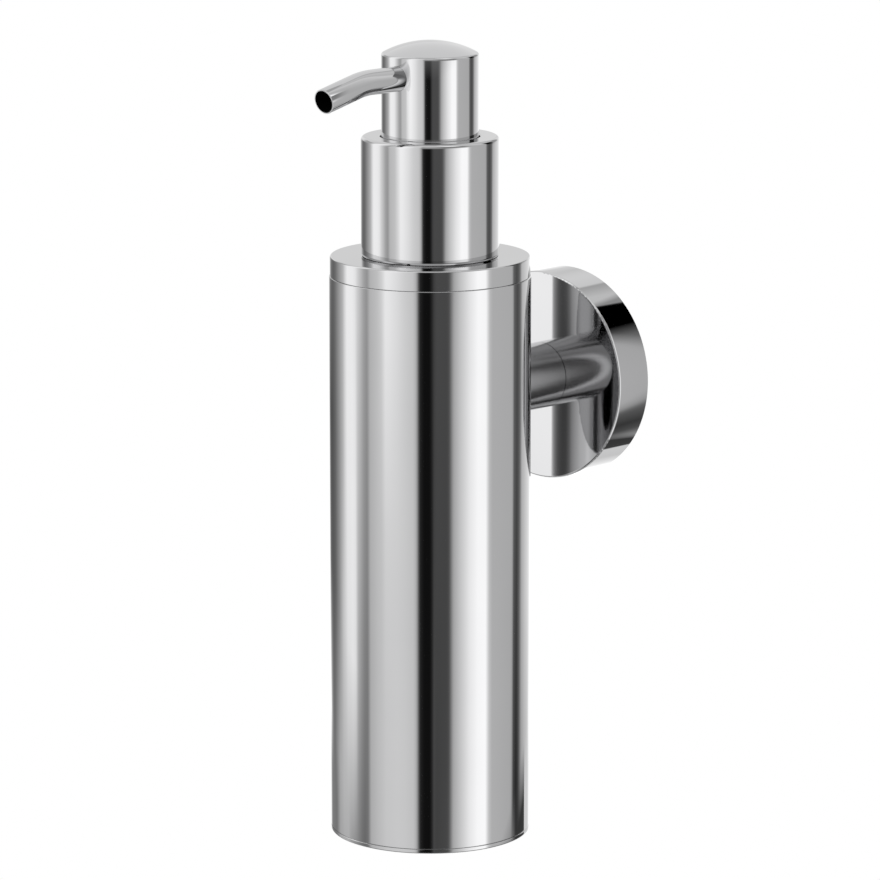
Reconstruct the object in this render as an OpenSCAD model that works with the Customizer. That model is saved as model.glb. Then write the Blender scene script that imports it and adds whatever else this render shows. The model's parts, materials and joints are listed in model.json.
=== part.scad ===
// Wall mounted soap dispenser: a polished steel tube on an arm and a round wall rose,
// with a lift-out bottle, a lid and a screw-down pump with a turning head and a bent spout.
//
// Frame: the origin is the middle of the rose's back, on the wall. +Y goes into the wall,
// +Z is up and the spout points along -Y. All sizes are in millimetres.

/* [Wall rose] */
// Outer diameter of the rose
rose_d = 54; // [50:0.5:64]
// Depth of the rose, from the wall to its polished face
rose_h = 10.8; // [10:0.1:14]
// Side wall of the rose
rose_wall = 1.6; // [1.2:0.1:2]
// Thickness of the rose's face
rose_face_t = 2.4; // [1.8:0.1:2.8]
// Rounding of the rose's front edge
rose_edge = 0.5; // [0.2:0.1:1]

/* [Wall plate] */
// Thickness of the plate against the wall
plate_t = 2; // [1.6:0.1:2.2]
// Height of the plate's clamping ring, from the wall
ring_h = 7; // [6.6:0.1:7.4]
// Room between the clamping ring and the rose's side wall
ring_room = 2.6; // [1.8:0.1:4]
// Width of the clamping ring
ring_w = 2.8; // [2:0.1:3.4]
// Depth of the groove that the set screw bites into
groove_t = 0.8; // [0.4:0.1:1]
// Distance between the two wall screws
screw_pitch = 28; // [24:1:30]
// Hole for a wall screw
wall_hole_d = 5; // [4:0.1:5.5]
// Countersink of a wall screw
wall_sink_d = 7.4; // [6:0.2:8]

/* [Fasteners] */
// Set screw that locks the rose on its plate
set_d = 4; // [3:0.5:4]
// Distance of the set screw's axis from the wall
set_y = 4.6; // [4.4:0.1:4.8]
// Across flats of the set screw's key
set_key = 2; // [1.5:0.1:2.2]
// Screw that holds the arm to the rose
arm_screw_d = 6; // [5:0.5:7]
// Screw that holds the tube to the arm
tube_screw_d = 5; // [4:0.5:6]
// Length of each of these screws inside the arm
screw_grip = 6; // [4:0.5:6]
// Height of the screw heads
head_t = 2.6; // [2:0.1:2.8]
// Width of a screw head beyond its shank
head_rim = 2.1; // [1.6:0.1:2.6]
// Flat thickness of the curved washer inside the tube
washer_t = 1.2; // [1:0.1:1.4]
// Width of the washer's rim around its screw
washer_rim = 3.8; // [3:0.1:4.2]

/* [Arm] */
// Diameter of the arm
arm_d = 17; // [14:0.5:20]
// Distance from the rose's face to the axis of the tube
reach = 42; // [41:0.5:60]

/* [Tube] */
// Outer diameter of the tube
tube_d = 50.8; // [50:0.1:56]
// Wall of the tube
tube_wall = 1; // [0.8:0.1:1.2]
// Length of the tube
tube_l = 142.5; // [125:0.5:180]
// Distance from the tube's top edge down to the arm's axis
arm_drop = 31.4; // [26:0.2:60]
// Rounding of the edges where the tube meets its lid and its base
seam_edge = 0.2; // [0.1:0.05:0.3]

/* [Base] */
// Visible thickness of the base's rim
base_rim_t = 1.1; // [0.8:0.1:2]
// Thickness of the base's floor
base_floor_t = 1.5; // [1.2:0.1:2.4]
// Height of the ring that presses into the tube
base_ring_h = 4; // [3:0.5:8]
// Wall of the base's rings
base_ring_t = 1.3; // [1:0.1:1.8]
// Height of the ring that centres the bottle
foot_ring_h = 2.5; // [1.5:0.1:4]
// Rounding of the base's lower edge
base_edge = 0.3; // [0.1:0.1:0.6]

/* [Lid] */
// How far the lid stands back from the tube's side
lid_inset = 0.2; // [0.1:0.1:0.4]
// Height of the lid
lid_h = 5.1; // [4.4:0.1:7]
// Thickness of the lid's top
lid_top_t = 1.5; // [1.2:0.1:2]
// Rounding of the lid's top edge
lid_edge = 0.5; // [0.2:0.1:0.9]
// Depth of the lid's spigot in the tube
spigot_h = 6; // [5:0.5:9]
// Wall of the spigot
spigot_t = 3; // [2.6:0.1:3.2]
// Section of the lid's sealing ring
seal_d = 1.8; // [1.4:0.1:2]

/* [Bottle] */
// Room between the bottle and the head of the tube's screw
bottle_room = 0.9; // [0.6:0.1:2]
// Wall of the bottle
bottle_wall = 1; // [0.8:0.1:1.4]
// Rounding of the bottle's shoulder
shoulder_r = 6; // [4:0.5:7]
// Rounding of the bottle's foot
foot_r = 3; // [2:0.5:4]
// Height of the dent in the bottle's floor
punt_h = 1; // [0.5:0.1:1.5]
// Outer diameter of the bottle's neck
neck_d = 24; // [22:0.5:26]
// Wall of the neck
neck_wall = 2.2; // [1.8:0.1:2.6]
// Height of the neck above the lid
neck_rise = 9.5; // [8:0.5:11]
// Width of the bead that carries the lid
bead_w = 2.4; // [1.5:0.1:3]
// Thickness of that bead
bead_t = 1.5; // [1:0.1:2]
// Length of neck between the shoulder and the bead
neck_under = 2.4; // [1.5:0.1:3]

/* [Pump] */
// Travel of the pump
stroke = 10; // [6:0.5:11]
// Bore of the pump's barrel
barrel_d = 12; // [11:0.5:13]
// Wall of the barrel
barrel_wall = 1; // [0.8:0.1:1.2]
// Thickness of the barrel's flange
flange_t = 1.5; // [1.2:0.1:2]
// Thickness of the neck gasket
gasket_t = 1; // [0.8:0.1:1.6]
// Height of the guide's rim above the flange
guide_rim_t = 1.8; // [1.4:0.1:2.2]
// Width of the guide's rim beyond the barrel's bore
guide_rim_w = 2; // [1.4:0.1:2.2]
// Depth of the guide in the barrel
guide_l = 4; // [3:0.5:5]
// Diameter of the stem
stem_d = 7; // [6.6:0.1:8]
// Bore of the stem
stem_bore_d = 2.2; // [1.6:0.1:2.3]
// Step of the stem that carries the piston
stem_step = 0.5; // [0.3:0.1:0.6]
// Height of the piston
piston_h = 6; // [5:0.5:8]
// Thickness of the piston's sealing lips
lip_t = 0.6; // [0.4:0.1:0.8]
// Thickness of the stem tip's flange
tip_t = 1.2; // [1:0.1:1.6]
// Length of the return spring at rest
spring_l = 23; // [21:0.5:26]
// Wire of the return spring
wire_d = 0.9; // [0.6:0.1:1]
// Coil diameter, through the middle of the wire
coil_d = 8.6; // [8:0.1:9.6]
// Turns of the return spring
coil_turns = 8; // [6:1:9]
// Diameter of the inlet ball
inlet_ball_d = 5; // [4:0.2:5.6]
// Diameter of the outlet ball
outlet_ball_d = 3.4; // [3.2:0.1:3.8]
// Lift of a ball from its seat
ball_lift = 1.5; // [1:0.1:2]
// Outer diameter of the dip tube
dip_d = 5; // [4:0.2:6]
// Wall of the dip tube
dip_wall = 0.9; // [0.6:0.1:1.1]
// Depth of the dip tube's socket
dip_socket_l = 10; // [8:0.5:14]
// Gap between the dip tube and the bottle's floor
dip_gap = 2.5; // [1:0.5:4]

/* [Collar] */
// Diameter of the collar
collar_d = 34.7; // [32:0.1:38]
// Height of the collar
collar_h = 30.1; // [28:0.1:36]
// Wall of the collar
collar_wall = 1; // [0.8:0.1:1.4]
// Thickness of the collar's top
collar_top_t = 1.4; // [1:0.1:2]
// Depth of the sleeve that guides the head
sleeve_l = 7; // [4:0.5:9]
// Wall of that sleeve
sleeve_t = 1; // [0.8:0.1:1.6]
// Rounding of the collar's top edge
collar_edge = 1.1; // [0.4:0.1:1.3]
// Rounding of the collar's foot
collar_foot = 0.6; // [0.2:0.1:0.7]
// Wall of the screw nut inside the collar
nut_wall = 1.5; // [1.2:0.1:2]
// Thickness of the nut's top
nut_top_t = 1.5; // [1.2:0.1:2]
// Number of ribs between the nut and the collar
nut_ribs = 12; // [8:1:18]

/* [Head] */
// Diameter of the head
head_d = 24.4; // [22:0.1:26]
// Height of the head's crown above the collar
head_rise = 23.8; // [22:0.1:30]
// Radius of the domed crown
crown_r = 25; // [18:1:40]
// Rounding between the head's side and its crown
head_edge = 0.8; // [0.4:0.1:1.2]
// Wall of the head
head_wall = 1; // [0.8:0.1:1.2]
// Wall of the core's socket around the stem
socket_wall = 1.6; // [1.2:0.1:2]
// Height of the pump's outlet above the stem's end
outlet_rise = 8; // [6:0.5:9]

/* [Spout] */
// Diameter of the spout
spout_d = 6.3; // [5:0.1:7]
// Wall of the spout
spout_wall = 0.55; // [0.4:0.05:0.8]
// Height of the spout's axis above the collar
spout_rise = 15.3; // [13:0.1:17]
// Distance from the head's axis to the start of the bend
bend_at = 21.1; // [18:0.1:26]
// Radius of the bend
bend_r = 25; // [15:1:40]
// Angle of the bend
bend_a = 13; // [5:1:30]
// Length of the straight end
tip_l = 11.35; // [8:0.05:16]
// Depth of the spout in the head's core
spout_seat = 7; // [5:0.5:8]

/* [Fits] */
// Gap on the radius of a pressed pair
press_gap = 0.02; // [0.01:0.01:0.04]
// Gap on the radius of a shaft that slides or turns
run_gap = 0.05; // [0.03:0.01:0.1]
// Gap under a face that turns on another
turn_gap = 0.1; // [0.05:0.05:0.2]
// Gap around the head in the collar
head_gap = 0.3; // [0.2:0.05:0.5]
// Gap left between moving pieces at the end of the stroke
end_gap = 1; // [0.5:0.1:1.5]

/* [Hidden] */

$fn = 96;
eps = 0.5;                       // overshoot of a cutting shape

// Radii
rose_r = rose_d / 2;
tube_r = tube_d / 2;
bore_r = tube_r - tube_wall;
lid_r = tube_r - lid_inset;
spigot_r = bore_r - run_gap;
bottle_r = bore_r - washer_t - head_t - bottle_room;
neck_r = neck_d / 2;
neck_bore_r = neck_r - neck_wall;
barrel_r = barrel_d / 2;
barrel_out_r = barrel_r + barrel_wall;
guide_rim_r = barrel_r + guide_rim_w;
stem_r = stem_d / 2;
journal_r = stem_r - stem_step;
collar_r = collar_d / 2;
head_r = head_d / 2;
spout_r = spout_d / 2;
nut_bore_r = neck_r + run_gap;
nut_r = collar_r - collar_wall - press_gap;
flange_r = nut_bore_r - 4 * run_gap;
plate_r = rose_r - rose_wall - run_gap;
ring_r = rose_r - rose_wall - ring_room;

// Places along the wall's normal
axis_y = rose_h + reach;         // from the wall to the axis of the tube
face_back = rose_h - rose_face_t;

// Heights on the tube's axis; the arm's axis is at 0
tube_top = arm_drop;
tube_base = tube_top - tube_l;
base_z = tube_base - base_rim_t;
floor_z = base_z + base_floor_t;
lid_top = tube_top + lid_h;
bead_top = lid_top - lid_top_t - press_gap;
shoulder_z = bead_top - bead_t - neck_under;
neck_top = lid_top + neck_rise;
gasket_top = neck_top + gasket_t;
flange_top = gasket_top + flange_t;
nut_under = flange_top + turn_gap;
nut_top = nut_under + nut_top_t;
guide_top = flange_top + guide_rim_t;
collar_z = lid_top + turn_gap;
collar_top = collar_z + collar_h;
skirt_z = max(nut_top, guide_top) + stroke + end_gap;
crown_z = collar_top + head_rise;
spout_z = collar_top + spout_rise;
stem_top = spout_z - outlet_rise;
piston_top = flange_top - guide_l - turn_gap;
piston_base = piston_top - piston_h;
tip_top = piston_base - turn_gap;
spring_top = tip_top - tip_t;
spring_z = spring_top - spring_l;

// Ball valves: a ball rests on a 90 degree cone, a little above touching
valve_room = 0.8;                // room round the inlet ball
function seat_rise(d) = (d / 2 + press_gap) * sqrt(2);
inlet_r = inlet_ball_d / 2 + valve_room;
inlet_lip_r = inlet_ball_d / 2 - 0.2;
inlet_lip_t = 0.8;
inlet_top = spring_z - inlet_lip_t;
inlet_lip_drop = sqrt(pow(inlet_ball_d / 2, 2) - pow(inlet_lip_r, 2));
inlet_ball_z = inlet_top - inlet_lip_drop - ball_lift - 2 * press_gap;
inlet_apex = inlet_ball_z - seat_rise(inlet_ball_d);
inlet_port_r = dip_d / 2 - dip_wall;
socket_top = inlet_apex + inlet_port_r - 1;
socket_base = socket_top - dip_socket_l;
outlet_room = 0.45;              // room round the outlet ball
outlet_r = outlet_ball_d / 2 + outlet_room;
outlet_ball_z = stem_top - outlet_ball_d / 2 - ball_lift - 2 * press_gap;
outlet_apex = outlet_ball_z - seat_rise(outlet_ball_d);

// ---------------------------------------------------------------- shared shapes

// Moves what stands on the origin to the tube's axis.
module on_axis(z = 0) translate([0, -axis_y, z]) children();

// Turns what stands on the origin so that it grows out of the wall.
module off_wall(y = 0) translate([0, -y, 0]) rotate([90, 0, 0]) children();

// Half outline of a turned piece, with its outer corners rounded.
module turned(r, z0, z1, low = 0, high = 0) {
    difference() {
        translate([0, z0]) square([r, z1 - z0]);
        if (high > 0)
            translate([r - high, z1 - high]) corner(high);
        if (low > 0)
            translate([r - low, z0 + low]) mirror([0, 1]) corner(low);
    }
}

// What a rounding of radius r takes off an outer corner.
module corner(r) difference() {
    square([r + eps, r + eps]);
    circle(r = r);
}

// Half outline of a turned piece with a domed crown and a rounded edge.
module domed(r, z0, apex, dome_r, edge) {
    dome_z = apex - dome_r;
    edge_z = dome_z + sqrt(pow(dome_r - edge, 2) - pow(r - edge, 2));
    far = 2;
    translate([0, z0]) square([r, edge_z - z0]);
    translate([r - edge, edge_z]) circle(r = edge);
    intersection() {
        translate([0, dome_z]) circle(r = dome_r);
        polygon([
            [0, dome_z],
            [far * (r - edge), dome_z + far * (edge_z - dome_z)],
            [0, dome_z + far * (edge_z - dome_z)]
        ]);
    }
}

// A ring between two radii.
module ring(r_out, r_in, z0, z1) difference() {
    translate([0, 0, z0]) cylinder(r = r_out, h = z1 - z0);
    translate([0, 0, z0 - eps]) cylinder(r = r_in, h = z1 - z0 + 2 * eps);
}

// A socket screw that stands on its head, with its key hole in the head's outer face.
module socket_screw(d, l) {
    head_r = d / 2 + head_rim;
    key_r = d * 0.36;
    difference() {
        union() {
            rotate_extrude() turned(head_r, 0, head_t, low = 0.6);
            cylinder(d = d - 2 * press_gap, h = head_t + l);
        }
        translate([0, 0, -eps]) cylinder(r = key_r, h = head_t * 0.6 + eps, $fn = 6);
    }
}

// ---------------------------------------------------------------- wall side

module wall_plate() color("silver") {
    sink_t = (wall_sink_d - wall_hole_d) / 2;
    difference() {
        off_wall() rotate_extrude() difference() {
            union() {
                turned(plate_r, 0, plate_t, high = 0.4);
                turned(ring_r, 0, ring_h, high = 0.4);
            }
            translate([0, plate_t]) square([ring_r - ring_w, ring_h]);
            // the groove for the set screw's point
            translate([ring_r, set_y]) polygon([
                [-groove_t, 0],
                [eps, groove_t + eps],
                [eps, -groove_t - eps]
            ]);
        }
        for (side = [-1, 1])
            translate([side * screw_pitch / 2, 0, 0]) off_wall() {
                translate([0, 0, -eps]) cylinder(d = wall_hole_d, h = plate_t + 2 * eps);
                translate([0, 0, plate_t - sink_t])
                    cylinder(d1 = wall_hole_d, d2 = wall_sink_d + 2 * eps, h = sink_t + eps);
            }
    }
}

module rose() color("gainsboro") difference() {
    off_wall() rotate_extrude() difference() {
        turned(rose_r, 0, rose_h, high = rose_edge);
        translate([0, -eps]) square([rose_r - rose_wall, face_back + eps]);
    }
    off_wall(face_back - eps) cylinder(d = arm_screw_d + 4 * run_gap, h = rose_face_t + 2 * eps);
    translate([0, -set_y, -rose_r - eps]) cylinder(d = set_d, h = rose_wall + 2 * eps);
}

module set_screw() color("dimgray") {
    set_r = set_d / 2 - press_gap;
    point_z = -(ring_r - groove_t) - press_gap;
    end_z = -rose_r + 0.4;
    translate([0, -set_y, 0]) difference() {
        rotate_extrude() polygon([
            [0, end_z],
            [set_r, end_z],
            [set_r, point_z - set_r],
            [0, point_z]
        ]);
        translate([0, 0, end_z - eps]) cylinder(d = set_key / cos(30), h = 1.6 + eps, $fn = 6);
    }
}

module arm() color("gainsboro") difference() {
    off_wall(rose_h) cylinder(d = arm_d, h = reach);
    // the saddle that fits the tube
    on_axis(-arm_d) cylinder(r = tube_r + press_gap, h = 2 * arm_d);
    // the tapped holes at its two ends
    tap_l = screw_grip + 0.5;
    off_wall(rose_h - eps) cylinder(d = arm_screw_d, h = tap_l + eps);
    off_wall(axis_y - tube_r - tap_l) cylinder(d = tube_screw_d, h = tap_l + eps);
}

module arm_screw() color("silver")
    off_wall(face_back - head_t) socket_screw(arm_screw_d, rose_face_t + screw_grip);

module tube_screw() color("silver")
    translate([0, -(axis_y - bore_r + washer_t + head_t), 0]) rotate([-90, 0, 0])
        socket_screw(tube_screw_d, washer_t + tube_wall + screw_grip);

module curved_washer() color("silver") {
    washer_r = tube_screw_d / 2 + washer_rim;
    intersection() {
        on_axis(-washer_r - eps)
            cylinder(r = bore_r - press_gap, h = 2 * (washer_r + eps), $fn = 360);
        difference() {
            translate([0, -(axis_y - bore_r + washer_t), 0]) rotate([-90, 0, 0])
                cylinder(r = washer_r, h = 2 * washer_t);
            translate([0, -axis_y, 0]) rotate([-90, 0, 0])
                cylinder(d = tube_screw_d + 2 * run_gap, h = tube_r);
        }
    }
}

// ---------------------------------------------------------------- tube and base

module body_tube() color("gainsboro") difference() {
    on_axis() rotate_extrude() difference() {
        turned(tube_r, tube_base, tube_top, low = seam_edge, high = seam_edge);
        translate([0, tube_base - eps]) square([bore_r, tube_l + 2 * eps]);
    }
    translate([0, -axis_y, 0]) rotate([-90, 0, 0])
        cylinder(d = tube_screw_d + 2 * run_gap, h = tube_r + eps);
}

module base_disc() color("gainsboro") on_axis() {
    plug_r = bore_r - press_gap;
    foot_ring_r = bottle_r + run_gap + base_ring_t;
    rotate_extrude() {
        turned(tube_r, base_z, tube_base, low = base_edge, high = seam_edge);
        turned(plug_r, tube_base - press_gap, floor_z);
    }
    ring(plug_r, plug_r - base_ring_t, floor_z - press_gap, floor_z + base_ring_h);
    ring(foot_ring_r, bottle_r + run_gap, floor_z - press_gap, floor_z + foot_ring_h);
}

// ---------------------------------------------------------------- bottle and lid

module bottle_outline(inset) {
    turned(bottle_r - inset, floor_z + inset, shoulder_z - inset,
           low = foot_r - inset, high = shoulder_r - inset);
}

module liner_bottle() color("whitesmoke") on_axis() rotate_extrude() difference() {
    union() {
        bottle_outline(0);
        turned(neck_r, shoulder_z - eps, neck_top, high = 0.3);
        turned(neck_r + bead_w, bead_top - bead_t, bead_top);
    }
    difference() {
        union() {
            bottle_outline(bottle_wall);
            turned(neck_bore_r, shoulder_z - 2 * bottle_wall, neck_top + eps);
        }
        turned(bottle_r - 2 * foot_r + bottle_wall, floor_z, floor_z + punt_h + bottle_wall);
    }
    turned(bottle_r - 2 * foot_r, floor_z - eps, floor_z + punt_h);
}

module lid() color("gainsboro") on_axis() rotate_extrude() difference() {
    union() {
        turned(lid_r, tube_top, lid_top, low = seam_edge, high = lid_edge);
        turned(spigot_r, tube_top - spigot_h, lid_top - lid_top_t, low = 0.4);
    }
    translate([0, tube_top - spigot_h - eps])
        square([spigot_r - spigot_t, spigot_h + lid_h - lid_top_t + eps]);
    square([neck_r + 4 * run_gap, lid_top + eps]);
    // the groove for the sealing ring
    translate([spigot_r - seal_d, tube_top - spigot_h / 2 - seal_d / 2 - run_gap])
        square([seal_d + eps, seal_d + 2 * run_gap]);
}

module lid_seal() color("black") on_axis(tube_top - spigot_h / 2)
    rotate_extrude() translate([bore_r - run_gap - seal_d / 2, 0])
        circle(d = seal_d - 2 * press_gap);

// ---------------------------------------------------------------- pump

module pump_barrel() color("white") on_axis() difference() {
    cone_z = inlet_apex + inlet_r;
    socket_r = dip_d / 2 + barrel_wall;
    barrel_z = spring_z - barrel_wall;
    rotate_extrude() difference() {
        // the outside: flange, barrel, funnel and tube socket
        polygon([
            [0, flange_top],
            [flange_r, flange_top],
            [flange_r, gasket_top],
            [barrel_out_r, gasket_top],
            [barrel_out_r, barrel_z],
            [socket_r, socket_top],
            [socket_r, socket_base],
            [0, socket_base]
        ]);
        // the bore: barrel, lip over the ball, ball chamber, seat, port and tube socket
        polygon([
            [0, flange_top + eps],
            [barrel_r, flange_top + eps],
            [barrel_r, spring_z],
            [inlet_lip_r, spring_z],
            [inlet_lip_r, inlet_top],
            [inlet_r, inlet_top],
            [inlet_r, cone_z],
            [inlet_port_r, inlet_apex + inlet_port_r],
            [inlet_port_r, socket_top],
            [dip_d / 2, socket_top],
            [dip_d / 2, socket_base - eps],
            [0, socket_base - eps]
        ]);
    }
    // the air vents under the flange
    vent_z = gasket_top - 3;
    for (a = [0, 180])
        rotate([0, 0, a]) translate([0, 0, vent_z]) rotate([0, 90, 0])
            cylinder(d = 1, h = barrel_out_r + eps);
}

module neck_gasket() color("dimgray") on_axis()
    ring(flange_r, neck_bore_r, neck_top, gasket_top);

module stem_guide() color("white") on_axis() rotate_extrude() difference() {
    union() {
        turned(guide_rim_r, flange_top, guide_top, high = 0.4);
        turned(barrel_r - press_gap, flange_top - guide_l, flange_top + eps);
    }
    translate([0, flange_top - guide_l - eps])
        square([stem_r + run_gap, guide_l + guide_rim_t + 2 * eps]);
}

module dip_tube() color("white") {
    foot = floor_z + punt_h + bottle_wall + dip_gap;
    on_axis() difference() {
        ring(dip_d / 2 - press_gap, dip_d / 2 - dip_wall, foot, socket_top);
        // the slanted end
        translate([0, 0, foot + dip_d / 2]) rotate([45, 0, 0])
            translate([-dip_d, -dip_d, -dip_d]) cube([2 * dip_d, 2 * dip_d, dip_d]);
    }
}

// Height of the spring's wire after a number of turns, with its end coils closed.
dead_turns = 1;
dead_pitch = wire_d * 1.1;
function coil_rise(turn, free) =
    turn < dead_turns ? dead_pitch * turn
    : turn > coil_turns - dead_turns ? free - dead_pitch * (coil_turns - turn)
    : dead_pitch * dead_turns
      + (turn - dead_turns) * (free - 2 * dead_pitch * dead_turns) / (coil_turns - 2 * dead_turns);

module return_spring() color("lightgray") on_axis(spring_z) {
    steps = 20;
    sides = 8;
    rings = coil_turns * steps;
    points = [
        for (i = [0 : rings], k = [0 : sides - 1])
            let (
                turn = i / steps,
                a = 360 * k / sides,
                r = coil_d / 2 + wire_d / 2 * cos(a),
                z = wire_d / 2 + coil_rise(turn, spring_l - wire_d) + wire_d / 2 * sin(a)
            )
            [r * cos(360 * turn), r * sin(360 * turn), z]
    ];
    walls = [
        for (i = [0 : rings - 1], k = [0 : sides - 1])
            let (a = i * sides + k, b = i * sides + (k + 1) % sides)
            [a, b, b + sides, a + sides]
    ];
    start = [for (k = [sides - 1 : -1 : 0]) k];
    finish = [for (k = [0 : sides - 1]) rings * sides + k];
    polyhedron(points, concat(walls, [start, finish]), convexity = 10);
}

module inlet_ball() color("silver") on_axis(inlet_ball_z) sphere(d = inlet_ball_d);

module piston() color("white") on_axis() {
    waist_r = barrel_r - run_gap - 1.2;
    rotate_extrude() difference() {
        union() {
            turned(barrel_r - run_gap, piston_base, piston_base + 1.6, low = 0.2);
            turned(waist_r, piston_base, piston_top);
            turned(barrel_r - run_gap, piston_top - 1.6, piston_top, high = 0.2);
        }
        translate([0, piston_base - eps]) square([journal_r + run_gap, piston_h + 2 * eps]);
        // the undercuts that free the sealing lips
        for (end = [piston_base - eps, piston_top - 0.8])
            translate([waist_r - 0.2, end])
                square([barrel_r - run_gap - lip_t - waist_r + 0.2, 0.8 + eps]);
    }
}

// ---------------------------------------------------------------- collar

module closure_nut() color("white") on_axis() {
    nut_out_r = nut_bore_r + nut_wall;
    rim_t = 1.4;
    difference() {
        union() {
            translate([0, 0, collar_z]) cylinder(r = nut_out_r, h = nut_top - collar_z);
            translate([0, 0, collar_z]) cylinder(r = nut_r, h = rim_t);
            intersection() {
                ring(nut_r, nut_bore_r + nut_wall / 2, collar_z, nut_top - nut_top_t);
                for (i = [0 : nut_ribs - 1])
                    rotate([0, 0, i * 360 / nut_ribs])
                        translate([0, -0.6, collar_z]) cube([nut_r + eps, 1.2, nut_top]);
            }
        }
        translate([0, 0, collar_z - eps]) cylinder(r = nut_bore_r, h = nut_under - collar_z + eps);
        translate([0, 0, nut_under - eps])
            cylinder(r = guide_rim_r + 4 * run_gap, h = nut_top_t + 2 * eps);
    }
}

module collar_shell() color("gainsboro") on_axis() rotate_extrude() {
    bore = head_r + head_gap;
    mouth = 0.4;                 // rounding of the bore's upper edge
    difference() {
        union() {
            difference() {
                turned(collar_r, collar_z, collar_top, low = collar_foot, high = collar_edge);
                translate([0, collar_z - eps])
                    square([collar_r - collar_wall, collar_h - collar_top_t + eps]);
            }
            turned(bore + sleeve_t, collar_top - sleeve_l, collar_top - mouth);
        }
        translate([0, collar_top - sleeve_l - eps]) square([bore, sleeve_l + 2 * eps]);
        translate([bore + mouth, collar_top - mouth]) mirror([1, 0]) corner(mouth);
    }
}

// ---------------------------------------------------------------- stem and head

module stem() color("white") on_axis() difference() {
    rotate_extrude() difference() {
        union() {
            turned(stem_r, piston_top + turn_gap / 2, stem_top, high = 0.3);
            turned(journal_r, tip_top, stem_top - 1);
        }
        translate([0, tip_top - eps]) square([stem_bore_d / 2, stem_top]);
        polygon([
            [0, outlet_apex],
            [outlet_r, outlet_apex + outlet_r],
            [outlet_r, stem_top + eps],
            [0, stem_top + eps]
        ]);
    }
    // the ports that the piston opens
    translate([0, 0, tip_top + 1]) rotate([90, 0, 0])
        cylinder(d = 1.2, h = stem_d, center = true);
}

module stem_tip() color("white") on_axis() {
    post_l = 0.35;
    rotate_extrude() {
        turned(coil_d / 2 + wire_d / 2, spring_top, tip_top - press_gap, low = 0.2);
        // the peg that closes the stem and the boss that centres the spring
        turned(stem_bore_d / 2 - press_gap, tip_top - 2 * press_gap, tip_top + post_l);
        turned(coil_d / 2 - wire_d / 2 - 2 * run_gap, spring_top - 2.5, spring_top + press_gap,
               low = 0.5);
    }
}

module outlet_ball() color("silver") on_axis(outlet_ball_z) sphere(d = outlet_ball_d);

// The line of the spout as a round bar. The straight lengths reach a hair into the bend
// and are a hair thinner, so that the three make one solid. over lengthens both ends.
module spout_bar(r, over = 0) on_axis(spout_z) {
    inner = head_r - spout_seat - over;
    lap = 0.02;
    slim = 0.005;
    // the straight length out of the head
    translate([0, -inner, 0]) rotate([90, 0, 0])
        cylinder(r = r - slim, h = bend_at - inner + lap);
    translate([0, -bend_at, -bend_r]) {
        // the bend
        rotate([0, -90, 180]) rotate_extrude(angle = bend_a)
            translate([bend_r, 0]) circle(r = r);
        // the straight end
        rotate([bend_a, 0, 0]) translate([0, lap, bend_r]) rotate([90, 0, 0])
            cylinder(r = r - slim, h = tip_l + lap + over);
    }
}

module spout_tube() color("gainsboro") difference() {
    spout_bar(spout_r);
    spout_bar(spout_r - spout_wall, eps);
}

module head_core() color("white") {
    core_r = head_r - head_wall - press_gap;
    core_crown = crown_z - head_wall - press_gap;
    core_z = spout_z - spout_r - 2.5;
    socket_r = stem_r + socket_wall;
    difference() {
        union() {
            on_axis() rotate_extrude() {
                domed(core_r, core_z, core_crown, crown_r - head_wall, 0.5);
                turned(socket_r, skirt_z, core_z + eps);
            }
            on_axis() for (a = [45 : 90 : 315])
                rotate([0, 0, a]) translate([socket_r - eps, -0.6, skirt_z + 4])
                    cube([core_r - 0.2 - socket_r + eps, 1.2, core_z - skirt_z - 4 + eps]);
        }
        on_axis(skirt_z - eps) cylinder(r = stem_r, h = stem_top - skirt_z + eps);
        // the way up from the stem, with the slot that keeps the ball from closing it
        on_axis(stem_top - eps) cylinder(d = stem_bore_d, h = outlet_rise + eps);
        on_axis(stem_top - eps) translate([-outlet_r, -0.4, 0])
            cube([2 * outlet_r, 0.8, 1.2 + eps]);
        on_axis(spout_z) rotate([90, 0, 0])
            cylinder(r = spout_r - spout_wall, h = head_r - spout_seat + eps);
        on_axis(spout_z) translate([0, -(head_r - spout_seat), 0]) rotate([90, 0, 0])
            cylinder(r = spout_r + press_gap, h = head_r);
    }
}

module head_shell() color("gainsboro") difference() {
    on_axis() rotate_extrude() difference() {
        domed(head_r, skirt_z, crown_z, crown_r, head_edge);
        domed(head_r - head_wall, skirt_z - eps, crown_z - head_wall, crown_r - head_wall, 0.5);
    }
    on_axis(spout_z) rotate([90, 0, 0]) cylinder(r = spout_r + press_gap, h = head_r + eps);
}

// ---------------------------------------------------------------- nodes

wall_plate();
rose();
set_screw();
arm();
arm_screw();
tube_screw();
curved_washer();
body_tube();
base_disc();
liner_bottle();
lid();
lid_seal();
pump_barrel();
neck_gasket();
stem_guide();
dip_tube();
return_spring();
inlet_ball();
closure_nut();
collar_shell();
piston();
stem();
stem_tip();
outlet_ball();
head_core();
head_shell();
spout_tube();
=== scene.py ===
"""Looks of a wall mounted soap dispenser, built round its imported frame.

The polished steel gets its stripes from a light tent: an upright ring of
diffuser with grey and black cards in it, which only mirror rays see. Plain
lamps and a plain world light the plastic and rubber pieces, and the background
is white. All lengths are in metres.
"""

from __future__ import annotations

import json
import logging
import math
from collections.abc import Iterable
from dataclasses import dataclass, field
from enum import Enum

import bmesh
import bpy
from mathutils import Matrix, Vector

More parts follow.
